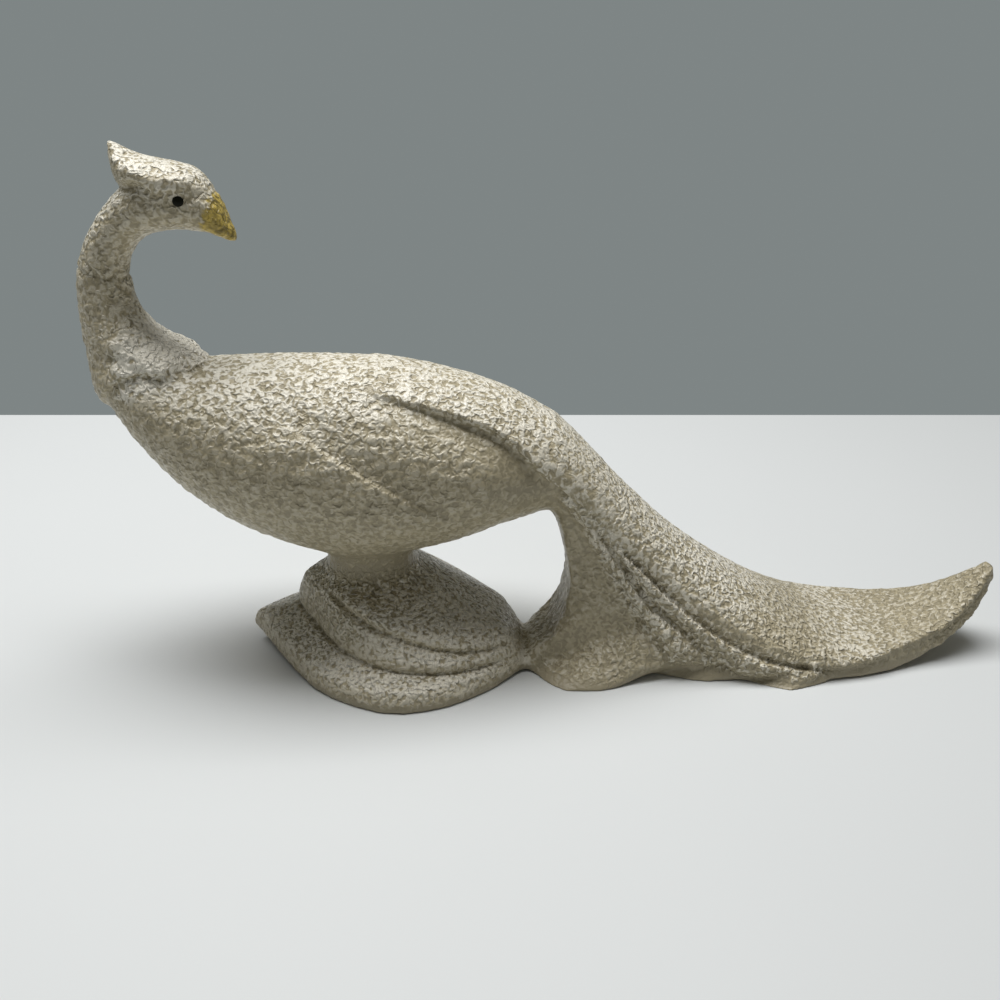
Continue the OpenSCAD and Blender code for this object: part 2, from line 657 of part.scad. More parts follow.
body_shell();
neck_shell();
head_shell();
beak();
crest();
eye(-1);  // left_eye
eye(1);  // right_eye
stem();
foot_lower_leaf();
foot_middle_leaf();
foot_upper_leaf();
tail_shell();
train_leaf();
rib(upper_rib, -1);  // left_upper_rib
rib(lower_rib, -1);  // left_lower_rib
rib(upper_rib, 1);  // right_upper_rib
rib(lower_rib, 1);  // right_lower_rib
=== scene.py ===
"""Peacock figurine: the glazed castings, the gilt beak, the enamel eyes and a plain stage."""

import math

import bmesh
import bpy
from bpy.props import FloatProperty, FloatVectorProperty, IntProperty, PointerProperty
from mathutils import Matrix, Vector, noise
from mathutils.bvhtree import BVHTree


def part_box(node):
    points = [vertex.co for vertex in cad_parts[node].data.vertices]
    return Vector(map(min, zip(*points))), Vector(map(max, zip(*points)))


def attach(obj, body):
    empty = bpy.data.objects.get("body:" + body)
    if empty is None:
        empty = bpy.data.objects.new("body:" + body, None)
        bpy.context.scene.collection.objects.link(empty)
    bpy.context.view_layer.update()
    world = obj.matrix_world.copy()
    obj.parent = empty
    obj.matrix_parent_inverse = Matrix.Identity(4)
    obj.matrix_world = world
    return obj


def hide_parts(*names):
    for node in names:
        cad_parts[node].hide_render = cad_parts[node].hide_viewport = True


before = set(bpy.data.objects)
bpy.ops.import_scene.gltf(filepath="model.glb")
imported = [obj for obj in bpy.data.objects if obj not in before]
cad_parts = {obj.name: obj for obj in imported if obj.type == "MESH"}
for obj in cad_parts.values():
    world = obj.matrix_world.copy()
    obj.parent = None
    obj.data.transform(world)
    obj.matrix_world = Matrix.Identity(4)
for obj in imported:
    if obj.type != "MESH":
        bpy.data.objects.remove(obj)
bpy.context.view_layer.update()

bl_info = {
    "name": "Peacock figurine",
    "version": (1, 0, 0),
    "blender": (4, 5, 0),
    "location": "View3D > Sidebar > Peacock",
    "description": "Glazes the castings of a peacock figurine and sets its stage",
    "category": "Object",
}

MM = 0.001

# Cast sections and sprigs that one coat of glaze runs over
UPPER_RIBS = ("left_upper_rib", "right_upper_rib")
LOWER_RIBS = ("left_lower_rib", "right_lower_rib")
RIBS = UPPER_RIBS + LOWER_RIBS
FOOT_LEAVES = ("foot_lower_leaf", "foot_middle_leaf", "foot_upper_leaf")
CASTINGS = ("body_shell", "neck_shell", "head_shell", "beak", "crest", "stem", "tail_shell", "train_leaf")
COATED = CASTINGS + FOOT_LEAVES + RIBS
SIDES = ("left", "right")
BLANK = "coated_blank"

# Straight seams between the pieces, in millimetres
RUMP_X = -5
WAIST_X = -14
STEM_Z = 39.5
# Faces above this height are cut at the rump, and the others at the waist
WAIST_TOP = 45
# Slanted seams: a point in millimetres and the way up the neck, or forward along the beak
HACKLE = Vector((-150.3, 0, 110.6)), Vector((-0.421, 0, 0.907))
NECK_RING = Vector((-164.9, 0, 152.8)), Vector((0.24, 0, 0.971))
BEAK_ROOT = Vector((-126.1, 0, 173.25)), Vector((0.936, 0, -0.353))

# Axis of the stem and the plug that keeps the coat out of the vent, in millimetres
STEM_AT = (-76, 0)
PLUG_RADIUS = 6
PLUG_LENGTH = 16
PLUG_Z = 41

# Making of the coat: distances in millimetres, and how far one round of smoothing goes
MERGED_WITHIN = 0.001
CUT_WITHIN = 0.0001
SMOOTHING = 0.5
# Distance in millimetres beyond which a sprig has no effect on the coat
FAR = 25
# Distances in millimetres from a rib at which its glaze ends and is full
RIB_GLAZE = 5, 1
# Shares of the smoothing of joints that the rump, the brow, the hem and the groove between two ribs get
RUMP_SOFTENED = 0.8
BROW_SOFTENED = 0.95
HEM_SOFTENED = 0.3
GROOVE_SOFTENED = 0.12
# Share of the evening that the head and the tail's tip are spared
ENDS_SPARED = 0.75
# Crease in millimetres that is too shallow to be cut again
LEAST_CREASE = 0.03

# Edges of feathers in millimetres: both ends seen from the side, how far the edge stands proud, how far the
# ground in front of it is sunk, and half the width of the step
BREAST_FEATHERS = Vector((-100, 106.5)), Vector((-51, 75)), 0.8, 0.8, 0.8
NECK_FEATHERS = Vector((-141, 117.5)), Vector((-163, 127)), 1.8, 0.3, 1.6
# Ring round the neck, in millimetres
RING_DEPTH = 0.6
RING_HALF = 1.6
# Crest's edge above the eyes and the ledge over it: height on the figure and relief, in millimetres
BROW_Z = 182.5
BROW_FILL = 2
LEDGE_Z = 188
LEDGE_CUT = 0.8
# Grooves between the ribs and along the train, in millimetres
RIB_GROOVE_FILL = 0.2
TRAIN_GROOVE = 1.15
# Shares by which creases are shallower on the ribs and between them
RIB_CREASE_LESS = 0.25
RIB_GROOVE_LESS = 0.5

# White glaze at a point: the sum of these amounts times the shares of the parts that the point is on. The
# upward amount is partly painted light, a whiter coat where it faces the lamp; the mound and the stem under
# the body carry painted shade, partly glaze pooled there; the hollow under the train and the tail's tip carry
# painted shade; the hackle's amount is partly painted light
WHITE_AND_SHADE = {
    "everywhere": 0.385, "upward": 0.165, "patch": 0.06, "foot": 0.11, "neck": 0.06, "mound": -0.15,
    "back": 0.04, "tip": -0.2, "skirt": -0.14, "stem": -0.3, "brow": 0.12, "rib": 0.11, "hollow": -0.18,
    "rim": 0.04, "hackle": 0.22,
}
# Thickness of the white, found the same way, and the shares of it that are then taken off in turn. The lit
# share is painted light, a whiter white where the coat faces the lamp above, and the shares taken off on the
# tail, its tip and the shoulder are painted shade
THICK_AND_LIGHT = {"everywhere": 0.22, "neck": 0.14, "foot": 0.22, "lit": 0.74}
THINNED_AND_SHADE = {"foot": 0.25, "skirt": 0.6}, {"tail": 0.14, "tip": 0.45}, {"shoulder": 0.14}
# Height of the lumps, found as the thickness is
LUMPY = {"everywhere": 0.8, "breast": 0.5}
EVENED = {"foot": 0.6}, {"top": 0.4}
# How far the white thickens where it gathers, and the least thickness on the train's rim
GATHERED = 0.6
RIM_THICK = 0.75
# Crease in millimetres from which white runs off and painted shade darkens it, and how much of it does for
# each further millimetre
RUN_OFF_AND_SHADE_FROM = 0.15
RUN_OFF_AND_SHADE = 0.1
# How far drops stand proud at least, and on the breast, the ribs and the hackle
LEAST_STANDS = 0.5
BREAST_STANDS = 0.8
RIB_STANDS = 1.2
HACKLE_STANDS = 1.15
# Shares by which drops stand less proud on the front, in the hollow, on the beak and on the wiped edge, and
# the share by which they do more on the foot
FRONT_FLATTER = 0.25
HOLLOW_FLATTER = 0.5
BEAK_FLATTER = 0.1
WIPED_FLATTER = 0.85
FOOT_PROUDER = 0.5
# What the hollow loses of its thickness as painted shade under the train, and the hollow and the head of
# their lumps
HOLLOW_SHADE = 0.5
HOLLOW_EVENED = 0.6
HEAD_EVENED = 0.45
# What lumps gain on the ribs and on the hackle
RIB_LUMPS = 0.7
HACKLE_LUMPS = 0.3
# Width of the patches of more and less white, in millimetres
PATCH = 18
# Strongest wiping of the edge on the table
WIPED_MOST = 0.9
# Wiped band in millimetres: its height, what more it has at the fold and toward the tip, where it ends above
# that height and is full below it, and how far lumps shift it
HEM_HEIGHT = 2.2
HEM_FOLD = 3.5
HEM_TIP = 2
HEM_FADE = 2.5, -1.5
HEM_SHIFT = 1.5

# Spatter in the glaze's material: noise scale by the width of a drop, and how it is drawn out into worms
FINE_WORMS = 0.8, 0.6
BROAD_WORMS = 0.7, 0.8
BLOTS = 0.4
# What blots, lumps, cover and wiping add to the level of the spatter
BLOT_SHARE = 0.25
LUMP_SHARE = 0.15
COVER_SHARE = 0.8
WIPED_SHARE = -0.4
# Levels between which the spatter turns white, and between which the base glaze gets painted shade in the
# gaps between drops
WHITE_LEVELS = 0.93, 1.12
GAP_SHADE_LEVELS = 0.95, 0.75
# Level from which the relief of the drops is measured
MIDDLE_LEVEL = 0.62
# Roughness of the base glaze and of the white
GLAZE_ROUGHNESS = 0.42, 0.3
# Clouds in the base glaze, their darkest and lightest shade, and the painted shade in the gaps between drops
SAND_CLOUDS = 60.0
SAND_SHADES = 0.88, 1.16
GAP_SHADE = 0.78
# Mottles in the gilt, the noise between which they turn, and their darkest and lightest shade
GILT_MOTTLES = 420.0
GILT_TURNS = 0.35, 0.65
GILT_SHADES = 0.65, 1.6
# Ragged edge of the gilt: its depth and where it begins and ends in front of the seam, in millimetres
GILT_RAGGED = 4
GILT_EDGE = 2.6, 4.4
# Clouds in the enamel and how much lighter they are, and its gloss
ENAMEL_CLOUDS = 700.0
ENAMEL_LIGHTER = 2
ENAMEL_ROUGHNESS = 0.3
ENAMEL_SPECULAR = 0.08
# Thickness of an eye as a share of its diameter
EYE_THICKNESS = 0.55

# Stage, with places and sizes in metres and the lens in millimetres
FLOOR_HALF = 1.5
FLOOR_BACK = 0.27
FLOOR_CLOUDS = 3.0
FLOOR_SHADES = 0.97, 1.03
FLOOR_ROUGHNESS = 0.6
LAMP_SIZE = 1.1, 0.6
LAMP_AT = (-0.2, 0.15, 1.1)
FILL_COLOUR = (1, 0.97, 0.9, 1)
CAMERA_AT = (-0.0244, -0.3554, 0.2279)
CAMERA_NEAR = 0.01
LENS = 36
SENSOR = 36


class GlazeSettings(bpy.types.PropertyGroup):
    """Coat of glaze and its colours"""

    grain: FloatProperty(
        name="Grain", description="Mesh size of the coat", default=0.7 * MM, unit="LENGTH")
    spatter: FloatProperty(
        name="Spatter", description="Width of the drops of white glaze", default=1.2 * MM,
        unit="LENGTH")
    spatter_height: FloatProperty(
        name="Spatter height", description="How far the drops stand proud", default=1.6 * MM,
        unit="LENGTH")
    lump: FloatProperty(
        name="Lump", description="Width of the lumps under the spatter", default=2.6 * MM, unit="LENGTH")
    lump_height: FloatProperty(
        name="Lump height", description="How far the lumps stand proud", default=0.42 * MM, unit="LENGTH")
    leaf_seam: FloatProperty(
        name="Leaf seam", description="Depth of the seams between the leaves of the foot",
        default=1.2 * MM, min=0, unit="LENGTH")
    train_hollow: FloatProperty(
        name="Train hollow", description="How far the flank is drawn in below the train",
        default=2.2 * MM, min=0, unit="LENGTH")
    evening: IntProperty(
        name="Evening", description="Rounds of smoothing of the whole coat", default=14, min=0)
    crease: FloatProperty(
        name="Crease", description="How much deeper creases are cut than they were", default=1.5, min=0)
    fillet: IntProperty(
        name="Fillet", description="Rounds of smoothing of the luted joints", default=160, min=0)
    eye: FloatProperty(
        name="Eye", description="Diameter of the drops of enamel", default=3.7 * MM, unit="LENGTH")
    white: FloatVectorProperty(
        name="White", description="White glaze", subtype="COLOR", size=4, default=(0.83, 0.79, 0.675, 1))
    sand: FloatVectorProperty(
        name="Sand", description="Base glaze between the drops", subtype="COLOR", size=4,
        default=(0.42, 0.365, 0.24, 1))
    bare: FloatVectorProperty(
        name="Bare clay", description="Wiped edge on the table", subtype="COLOR", size=4,
        default=(0.36, 0.315, 0.215, 1))
    gilt: FloatVectorProperty(
        name="Gilt", description="Paint of the beak", subtype="COLOR", size=4, default=(0.36, 0.27, 0.06, 1))
    enamel: FloatVectorProperty(
        name="Enamel", description="Black of the eyes", subtype="COLOR", size=4,
        default=(0.006, 0.006, 0.003, 1))


class StageSettings(bpy.types.PropertyGroup):
    """Floor, light and camera"""

    floor: FloatVectorProperty(
        name="Floor", description="Pale floor", subtype="COLOR", size=4, default=(0.68, 0.70, 0.70, 1))
    backdrop: FloatVectorProperty(
        name="Backdrop", description="Grey behind the figure", subtype="COLOR", size=4,
        default=(0.21, 0.235, 0.235, 1))
    lamp: FloatProperty(
        name="Lamp", description="Power of the overhead lamp", default=15.5, min=0, unit="POWER")
    fill: FloatProperty(
        name="Fill", description="Strength of the even light all round", default=0.1, min=0)
    camera_pitch: FloatProperty(
        name="Camera pitch", description="Angle of view below the horizon", subtype="ANGLE",
        default=math.radians(24.88))


def ease(low, high, value):
    """Smooth step from 0 at low to 1 at high."""
    s = min(max((value - low) / (high - low), 0), 1)
    return s * s * (3 - 2 * s)


def bell(value, centre, half):
    """1 at the centre, easing to 0 at half a width away."""
    return 1 - ease(0, half, abs(value - centre))


def toward(value, goal, share):
    """A value moved a share of the way to its goal."""
    return value + (goal - value) * share


def weighed(amounts, parts):
    """Sum of amounts, each times the share of the part that it is for."""
    return sum(amount * parts.get(part, 0) for part, amount in amounts.items())


def built_up(amounts, taken_off, parts):
    """Sum of amounts by the parts that a point is on, less the shares that are taken off it in turn."""
    total = weighed(amounts, parts)
    for shares in taken_off:
        total *= 1 - weighed(shares, parts)
    return total


def beyond(place, seam):
    """How far a point is beyond a slanted seam."""
    point, way = seam
    return (place - point).dot(way)


def from_stem(x, y):
    """Distance from the stem's axis, in millimetres."""
    return math.hypot(x - STEM_AT[0], y - STEM_AT[1])


def middle(node):
    """Middle of a CAD node's box."""
    low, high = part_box(node)
    return (Vector(low) + Vector(high)) / 2


def merged(names):
    """One bmesh of copies of CAD nodes, with their loose triangles merged."""
    bm = bmesh.new()
    for name in names:
        bm.from_mesh(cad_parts[name].data)
    bmesh.ops.remove_doubles(bm, verts=bm.verts, dist=MERGED_WITHIN * MM)
    return bm


def node_tree(names):
    """Search tree of the merged surfaces of CAD nodes."""
    bm = merged(names)
    tree = BVHTree.FromBMesh(bm)
    bm.free()
    return tree


def reach(tree, point):
    """Distance of a point from a search tree's surface in millimetres, as far as it matters."""
    found = tree.find_nearest(point, FAR * MM)
    return FAR if found[0] is None else found[3] / MM


def between_ribs(to_upper, to_lower):
    """1 in the groove between an upper and a lower rib, easing to 0 away from it."""
    return ease(*RIB_GLAZE, to_upper) * ease(*RIB_GLAZE, to_lower)


def new_object(name, bm):
    """Object at the origin made from a bmesh, which is freed."""
    mesh = bpy.data.meshes.new(name)
    bm.to_mesh(mesh)
    bm.free()
    obj = bpy.data.objects.new(name, mesh)
    bpy.context.scene.collection.objects.link(obj)
    return obj


def apply_modifiers(obj):
    """Replaces an object's mesh by the result of its modifiers."""
    graph = bpy.context.evaluated_depsgraph_get()
    graph.update()
    mesh = bpy.data.meshes.new_from_object(obj.evaluated_get(graph))
    old = obj.data
    obj.modifiers.clear()
    obj.data = mesh
    bpy.data.meshes.remove(old)


def add_smooth(obj, group, rounds):
    """Adds a Smooth modifier that follows the weights of a vertex group."""
    smooth = obj.modifiers.new(group, "SMOOTH")
    smooth.vertex_group = group
    smooth.factor = SMOOTHING
    smooth.iterations = rounds


def largest_part(bm):
    """Deletes all but the largest connected part of a bmesh."""
    bm.verts.ensure_lookup_table()
    seen = [False] * len(bm.verts)
    parts = []
    for start in bm.verts:
        if seen[start.index]:
            continue
        seen[start.index] = True
        part = [start]
        for vert in part:
            for edge in vert.link_edges:
                other = edge.other_vert(vert)
                if not seen[other.index]:
                    seen[other.index] = True
                    part.append(other)
        parts.append(part)
    parts.sort(key=len)
    for part in parts[:-1]:
        bmesh.ops.delete(bm, geom=part, context="VERTS")


def fillet_share(place):
    """How far a luted joint at this point is rounded over with slip, from 0 to 1.

    The ranges of each joint are places in millimetres.
    """
    x, y, z = place
    stem = ease(34, 24, from_stem(x, y)) * ease(31, 35, z) * ease(58, 48, z)
    waist = bell(x, WAIST_X, 13) * ease(30, 20, z)
    rump = RUMP_SOFTENED * bell(x, RUMP_X, 7) * ease(50, 56, z) * ease(78, 70, z)
    leaf_front = ease(-67, -76, x) * ease(96, 106, z) * ease(-112, -100, x)
    collar = bell(beyond(place, HACKLE), 0, 8) * ease(-133, -141, x)
    brow = BROW_SOFTENED * ease(-144, -136, x) * ease(174, 179, z) * ease(4, 9, abs(y))
    hem = HEM_SOFTENED * ease(8, 4, z) * ease(WAIST_X, WAIST_X + 12, x) * ease(165, 150, x)
    return max(stem, waist, rump, leaf_front, collar, brow, hem)


def even_share(place):
    """How far the coat is evened at this point, from 0 to 1: less on the head and the tail's tip."""
    return 1 - ENDS_SPARED * max(ease(142, 152, place.z), ease(150, 165, place.x))


def feather_edge(x, z, start, end, flare, sink, soft):
    """Height of an edge of feathers, in millimetres, which is proud by its flare on the right of its line."""
    along = Vector((x, z)) - start
    run = end - start
    share = along.dot(run) / run.length_squared
    off = along.cross(run) / run.length
    fade = ease(-0.12, 0.15, share) * ease(1.3, 0.9, share)
    proud = flare * ease(-soft, soft, off) * ease(8 + 4 * flare, 1, off)
    sunk = sink * ease(soft, -soft, off) * ease(-13, -1, off)
    return fade * (proud - sunk)


def hem_height(x):
    """Height of the wiped band along the edge on the table, in millimetres."""
    return HEM_HEIGHT + HEM_FOLD * bell(x, 47, 24) + HEM_TIP * ease(92, 106, x)


class Spot:
    """One point of the coat and how the glaze lies on it, with its measures in millimetres.

    Its parts are the shares, from 0 to 1, that the point has in the parts of the figure, and a noise for the
    patches. Thick and light is how well the white covers, with painted light where the coat faces up and
    painted shade where it is shaded, stands is how far its drops stand proud, and rough is how far the lumps
    do.
    """

    def __init__(self, vert, raw, settings):
        self.at = vert.co
        self.place = vert.co / MM
        self.up = vert.normal.z
        self.lump = noise.noise(vert.co / settings.lump)
        # Above 0 where an edge was worn down as the coat was evened, and below 0 where a crease was filled up
        self.worn = (raw - vert.co).dot(vert.normal) / MM
        self.crease = min(self.worn + LEAST_CREASE, 0) * settings.crease
        self.height = 0
        self.thick = 0
        self.stands = 0
        self.rough = 0
        self.parts = {}


def lay_glaze(spot):
    """Spreads the glaze by the way a point faces and by the part of the figure that it is on, with painted
    light on faces turned up to the lamp and painted shade under the body, on the shoulder and toward the
    tail's tip.
    """
    x, y, z = spot.place
    up = spot.up
    foot = ease(46, 38, z) * ease(WAIST_X + 8, WAIST_X - 8, x)
    neck = ease(116, 130, z)
    breast = ease(52, 75, z) * ease(RUMP_X, RUMP_X - 40, x)
    front = ease(25, -15, x) * (1 - foot)
    # Share of the faces turned up to the lamp, which get painted light in the white
    lit = ease(0.12, 0.9, up)
    spot.parts.update(
        everywhere=1,
        upward=ease(-0.1, 0.85, up),
        lit=lit,
        patch=noise.noise(spot.place / PATCH),
        foot=foot,
        # The mound and the stem under the body get painted shade, partly glaze pooled there
        mound=ease(36, 22, from_stem(x, y)) * foot,
        stem=ease(30, 20, from_stem(x, y)) * ease(35, 39, z) * ease(58, 46, z),
        neck=neck,
        breast=breast,
        front=front,
        top=ease(0.6, 0.9, up),
        # Painted shade on the shoulder, the sides that face half up
        shoulder=bell(up, 0.45, 0.35) * ease(RUMP_X - 5, RUMP_X - 25, x) * (1 - max(foot, neck)),
        back=bell(x, 15, 35) * ease(45, 55, z),
        skirt=ease(34, 14, z) * ease(WAIST_X, WAIST_X + 16, x) * ease(120, 90, x),
        # Painted shade toward the tail's end and its tip
        tail=ease(50, 90, x),
        tip=ease(105, 150, x),
    )
    spot.thick = built_up(THICK_AND_LIGHT, THINNED_AND_SHADE, spot.parts)
    spot.rough = built_up(LUMPY, EVENED, spot.parts)
    spot.stands = toward(LEAST_STANDS, 1, max(lit, BREAST_STANDS * breast * ease(-0.5, 0.1, up)))
    spot.stands *= 1 - FRONT_FLATTER * front * (1 - neck)


def dress_brow(spot):
    """Fills up the crest's edge above the eyes and pulls in the ledge over it."""
    x, y, z = spot.place
    beside = ease(-146, -138, x) * ease(-126, -133, x) * ease(6, 10, abs(y))
    brow = beside * bell(z, BROW_Z, 5)
    spot.parts["brow"] = brow
    spot.thick = toward(spot.thick, 1, GATHERED * brow)
    spot.height += BROW_FILL * brow - LEDGE_CUT * beside * bell(z, LEDGE_Z, 3.5)


def dress_ribs(spot, upper_ribs, lower_ribs, train):
    """Gathers glaze on the ribs.

    The groove between two ribs is shallower than in the CAD, and the one along the train deeper.
    """
    to_upper = reach(upper_ribs, spot.at)
    to_lower = reach(lower_ribs, spot.at)
    rib = ease(*RIB_GLAZE, min(to_upper, to_lower))
    spot.parts["rib"] = rib
    spot.thick = toward(spot.thick, 1, GATHERED * rib)
    spot.stands = toward(spot.stands, RIB_STANDS, rib)
    spot.rough += RIB_LUMPS * rib
    between = between_ribs(to_upper, to_lower)
    spot.crease *= 1 - RIB_CREASE_LESS * rib - RIB_GROOVE_LESS * between
    spot.crease += max(spot.worn, 0) * rib * (1 - between) + RIB_GROOVE_FILL * between
    along_train = ease(2.4, 0.3, to_upper) * ease(2.4, 0.3, reach(train, spot.at))
    spot.crease -= TRAIN_GROOVE * along_train * ease(14, 30, spot.place.x)


def dress_train(spot, train, depth):
    """Draws in the flank below the train, paints shade into the hollow under it, and restores the train's
    crisp edge.
    """
    x = spot.place.x
    off = reach(train, spot.at)
    smooth = 1 - spot.parts.get("rib", 0)
    hollow = ease(0.2, 1.4, off) * ease(24, 1, off) * ease(-80, -40, x) * ease(30, 8, x) * smooth
    rim = ease(1, 0.3, off) * ease(0.7, 0.3, spot.up) * smooth
    # The hollow's share takes white off and thins it: painted shade under the train's overhang
    spot.parts.update(hollow=hollow, rim=rim)
    spot.thick *= 1 - HOLLOW_SHADE * hollow
    spot.thick = toward(spot.thick, max(spot.thick, RIM_THICK), rim)
    spot.stands *= 1 - HOLLOW_FLATTER * hollow
    spot.rough *= 1 - HOLLOW_EVENED * hollow
    spot.crease += max(spot.worn, 0) * ease(3, 0.5, off) * smooth
    spot.height -= depth * hollow


def dress_foot(spot, leaves, depth):
    """Cuts the seams between the leaves of the foot, where the second nearest leaf comes close."""
    second = sorted(reach(leaf, spot.at) for leaf in leaves)[1]
    spot.crease = min(spot.crease, -depth * ease(1.5, 0.4, second) * ease(-0.2, 0.1, spot.up))


def dress_hackle(spot):
    """Gathers glaze on the hackle, whose extra white is partly painted light where it catches more of the
    lamp.
    """
    above = beyond(spot.place, HACKLE)
    hackle = ease(0, 4, above) * ease(28, 16, above) * ease(-164, -157, spot.place.x)
    spot.parts["hackle"] = hackle
    # Partly painted light: the white is thickest on the hackle, which faces the lamp more
    spot.thick = toward(spot.thick, 1, hackle)
    spot.stands = toward(spot.stands, HACKLE_STANDS, hackle)
    spot.rough += HACKLE_LUMPS * hackle


def dress_head(spot, eyes):
    """Evens the glaze toward the head, round the eyes and along the beak."""
    spot.rough *= 1 - HEAD_EVENED * ease(140, 160, spot.place.z)
    spot.rough *= ease(2.6, 4.5, min((spot.place - eye).length for eye in eyes))
    spot.stands *= 1 - BEAK_FLATTER * ease(-2, 1, beyond(spot.place, BEAK_ROOT))


def dress_feathers(spot):
    """Raises the edges of the breast and neck feathers and cuts the ring round the neck."""
    x, y, z = spot.place
    if abs(y) > 12 and -125 < x < -40 and z > 50:
        spot.height += feather_edge(x, z, *BREAST_FEATHERS)
    if -175 < x < -130 and 105 < z < 140:
        spot.height += feather_edge(x, z, *NECK_FEATHERS) * ease(3, 11, abs(y))
    if z > 130:
        spot.height -= RING_DEPTH * bell(beyond(spot.place, NECK_RING), 0, RING_HALF)


def dress_coat(blank, raw, settings):
    """Adds the fine relief to the evened coat and keeps how the spatter lies on it as attributes.

    The raw points of the coat tell where creases were evened out, which are cut again.
    """
    upper_ribs = node_tree(UPPER_RIBS)
    lower_ribs = node_tree(LOWER_RIBS)
    train = node_tree(["train_leaf"])
    leaves = [node_tree([name]) for name in FOOT_LEAVES]
    eyes = [middle(f"{side}_eye") / MM for side in SIDES]
    bm = bmesh.new()
    bm.from_mesh(blank.data)
    lumps = bm.verts.layers.float.new("lumps")
    cover = bm.verts.layers.float.new("cover")
    thick = bm.verts.layers.float.new("thick")
    wiped = bm.verts.layers.float.new("wiped")
    relief = bm.verts.layers.float.new("relief")
    coarse = bm.verts.layers.float.new("coarse")
    bm.normal_update()
    heights = []
    for vert, was in zip(bm.verts, raw):
        spot = Spot(vert, was, settings)
        x, _, z = spot.place
        # Steps are skipped far from what they dress
        lay_glaze(spot)
        dress_brow(spot)
        if x > RUMP_X - 10:
            dress_ribs(spot, upper_ribs, lower_ribs, train)
        if -80 < x < 60 and z > 30:
            dress_train(spot, train, settings.train_hollow / MM)
        if spot.parts["foot"] > 0:
            dress_foot(spot, leaves, settings.leaf_seam / MM)
        if z > 100 and x < -95:
            dress_hackle(spot)
        if z > 140:
            dress_head(spot, eyes)
        dress_feathers(spot)
        spot.height += spot.crease * (1 - fillet_share(spot.place)) ** 2
        fade = [hem_height(x) + edge for edge in HEM_FADE]
        band = WIPED_MOST * ease(*fade, z + HEM_SHIFT * spot.lump)
        vert[lumps] = spot.lump
        # The white's cover holds painted light on faces turned up and painted shade under the body, in the
        # hollow, in creases and toward the tip
        vert[cover] = weighed(WHITE_AND_SHADE, spot.parts) + RUN_OFF_AND_SHADE * min(spot.crease + RUN_OFF_AND_SHADE_FROM, 0)
        vert[thick] = spot.thick
        vert[wiped] = band
        vert[relief] = spot.stands * (1 + FOOT_PROUDER * spot.parts["foot"]) * (1 - WIPED_FLATTER * band)
        vert[coarse] = spot.parts["front"]
        heights.append(spot.height * MM + settings.lump_height * spot.lump * spot.rough * (1 - band))
    for vert, height in zip(bm.verts, heights):
        vert.co += vert.normal * height
        # The edge stands on the table
        vert.co.z = max(vert.co.z, 0)
    bm.to_mesh(blank.data)
    bm.free()


def cut_piece(name, cuts, nodes, material):
    """Cuts a closed piece out of the coated blank.

    Each cut is a point and a direction in millimetres, whose far side goes, and a test of the faces it cuts.
    """
    blank = bpy.data.objects.get(BLANK)
    if blank is None:
        raise RuntimeError("the castings have to be coated first")
    bm = bmesh.new()
    bm.from_mesh(blank.data)
    for point, away, test in cuts:
        faces = [face for face in bm.faces if test is None or test(face.calc_center_median() / MM)]
        edges = {edge for face in faces for edge in face.edges}
        verts = {vert for face in faces for vert in face.verts}
        bmesh.ops.bisect_plane(
            bm, geom=[*verts, *edges, *faces], dist=CUT_WITHIN * MM, plane_co=Vector(point) * MM,
            plane_no=Vector(away).normalized(), clear_outer=True)
    largest_part(bm)
    rims = [edge for edge in bm.edges if edge.is_boundary]
    for face in bm.faces:
        face.smooth = True
    for edge in rims:
        edge.smooth = False
    bmesh.ops.holes_fill(bm, edges=rims, sides=0)
    bmesh.ops.triangulate(bm, faces=[face for face in bm.faces if len(face.verts) > 4])
    left = sum(edge.is_boundary for edge in bm.edges)
    if left:
        raise RuntimeError(f"{name} is left open along {left} edges")
    obj = new_object(name, bm)
    obj.data.materials.append(material)
    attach(obj, "root")
    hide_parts(*nodes)


def at_rump(place):
    """Whether a face at this place is cut at the rump."""
    return place.z > WAIST_TOP


def at_waist(place):
    """Whether a face at this place is cut at the waist."""
    return place.z <= WAIST_TOP


def flipped(seam):
    """A slanted seam that faces the other way."""
    point, way = seam
    return point, -way


def new_material(name):
    """New material, a function that adds a node to it and one that sets or links a socket of its shader."""
    material = bpy.data.materials.new(name)
    material.use_nodes = True
    tree = material.node_tree
    shader = tree.nodes["Principled BSDF"]

    def feed(socket, value):
        if isinstance(value, bpy.types.NodeSocket):
            tree.links.new(value, socket)
        else:
            socket.default_value = value

    def add(kind, settings=None, **inputs):
        # An input goes by its name, or by an i and its number
        node = tree.nodes.new(kind)
        for key, value in (settings or {}).items():
            setattr(node, key, value)
        for key, value in inputs.items():
            numbered = key[0] == "i" and key[1:].isdigit()
            feed(node.inputs[int(key[1:]) if numbered else key], value)
        return node

    def shade(socket, value):
        feed(shader.inputs[socket], value)

    return material, add, shade


def shaded(colour, share):
    """A colour made lighter or darker."""
    return [share * c for c in colour[:3]] + [1]


def shades(colour, shares):
    """Several shades of a colour."""
    return [shaded(colour, share) for share in shares]


def object_place(add):
    """Place on the object."""
    return add("ShaderNodeTexCoord").outputs["Object"]


def cloudy(add, place, scale, detail=0.0, distortion=0.0):
    """Noise of one scale."""
    return add(
        "ShaderNodeTexNoise", Vector=place, Scale=scale, Detail=detail,
        Distortion=distortion).outputs["Fac"]


def mixed(add, share, first, second):
    """Mix of two colours."""
    return add("ShaderNodeMix", {"data_type": "RGBA"}, i0=share, i6=first, i7=second).outputs[2]


def reckoned(add, operation, *values):
    """Result of a math node."""
    inputs = {f"i{index}": value for index, value in enumerate(values)}
    return add("ShaderNodeMath", {"operation": operation}, **inputs).outputs[0]


